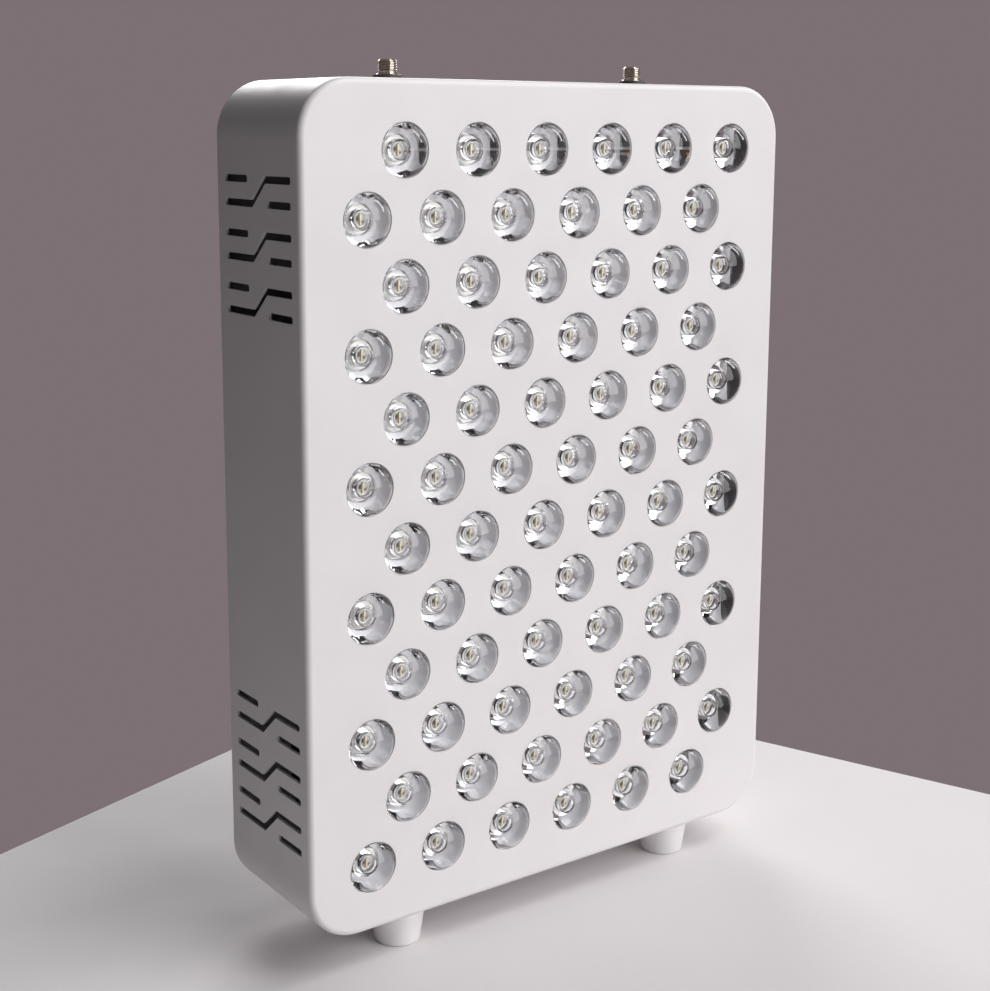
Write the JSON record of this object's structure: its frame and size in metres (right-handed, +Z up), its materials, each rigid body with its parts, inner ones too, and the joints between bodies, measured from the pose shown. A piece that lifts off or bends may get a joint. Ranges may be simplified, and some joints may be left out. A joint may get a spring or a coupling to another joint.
{
  "type": "red light therapy panel",
  "caption": "Upright white light panel on tapered feet, with staggered rows of clear domed lenses, side vents, hanging studs on top, and fans, inlet and rocker switches behind.",
  "frame": {"origin": "on the ground under the middle of the panel, midway between the lens domes and the rockers", "axes": "+Z up, the lenses face -Y, +X to the right as seen from the front"},
  "size_m": [0.255, 0.0806, 0.3765],
  "materials": {
    "powder_coat": "satin white powder coat",
    "lens": "clear polished lens",
    "led": "clear dome over a yellowish chip",
    "board": "white solder mask",
    "aluminium": "mill finish",
    "steel": "zinc plated",
    "brass": "plain",
    "bright_wire": "bright plated",
    "nickel": "nickel plated",
    "copper": "enamelled winding",
    "black_plastic": "fine moulded texture",
    "rocker": "gloss black",
    "washer": "matt",
    "foot": "matt white",
    "wire": "insulated wire"
  },
  "bodies": {
    "housing": {"front_shell": "powder_coat", "back_cover": "powder_coat", "cover_posts": "steel", "cover_screws": "steel", "board_standoffs": "brass", "heat_sink_screws": "steel", "lens_row_01": "lens", "lens_row_02": "lens", "lens_row_03": "lens", "lens_row_04": "lens", "lens_row_05": "lens", "lens_row_06": "lens", "lens_row_07": "lens", "lens_row_08": "lens", "lens_row_09": "lens", "lens_row_10": "lens", "lens_row_11": "lens", "lens_row_12": "lens", "leds_red_upper": "led", "leds_red_lower": "led", "leds_nir_upper": "led", "leds_nir_lower": "led", "led_board_upper": "board", "led_board_lower": "board", "heat_sink_upper": "aluminium", "heat_sink_lower": "aluminium", "fan_frame_upper": "black_plastic", "fan_frame_lower": "black_plastic", "fan_stator_upper": "copper", "fan_stator_lower": "copper", "fan_guard_upper": "bright_wire", "fan_guard_lower": "bright_wire", "fan_screws": "steel", "driver_red": "aluminium", "driver_nir": "aluminium", "driver_screws": "steel", "inlet_body": "black_plastic", "inlet_pins": "nickel", "inlet_screws": "steel", "switch_body_red": "black_plastic", "switch_body_nir": "black_plastic", "switch_terminals": "nickel", "hanging_stud_left": "nickel", "hanging_stud_right": "nickel", "stud_washers": "washer", "stud_nuts": "steel", "foot_front_left": "foot", "foot_back_left": "foot", "foot_front_right": "foot", "foot_back_right": "foot", "foot_screws": "steel", "foot_nuts": "steel", "mains_wiring": "wire", "led_wiring": "wire", "fan_wiring": "wire"},
    "fan_rotor_upper": {"fan_rotor_upper": "black_plastic"},
    "fan_rotor_lower": {"fan_rotor_lower": "black_plastic"},
    "switch_rocker_red": {"switch_rocker_red": "rocker"},
    "switch_rocker_nir": {"switch_rocker_nir": "rocker"}
  },
  "joints": [
    {"name": "fan_spin_upper", "type": "hinge", "parent": "housing", "child": "fan_rotor_upper", "pos_m": [0, 0.02001, 0.3015], "axis": [0, 1, 0], "continuous": true},
    {"name": "fan_spin_lower", "type": "hinge", "parent": "housing", "child": "fan_rotor_lower", "pos_m": [0, 0.02001, 0.0815], "axis": [0, 1, 0], "continuous": true},
    {"name": "rocker_red", "type": "hinge", "parent": "housing", "child": "switch_rocker_red", "pos_m": [-0.066, 0.03371, 0.0665], "axis": [1, 0, 0], "range_deg": [0, 16]},
    {"name": "rocker_nir", "type": "hinge", "parent": "housing", "child": "switch_rocker_nir", "pos_m": [-0.092, 0.03371, 0.0665], "axis": [1, 0, 0], "range_deg": [0, 16]}
  ]
}
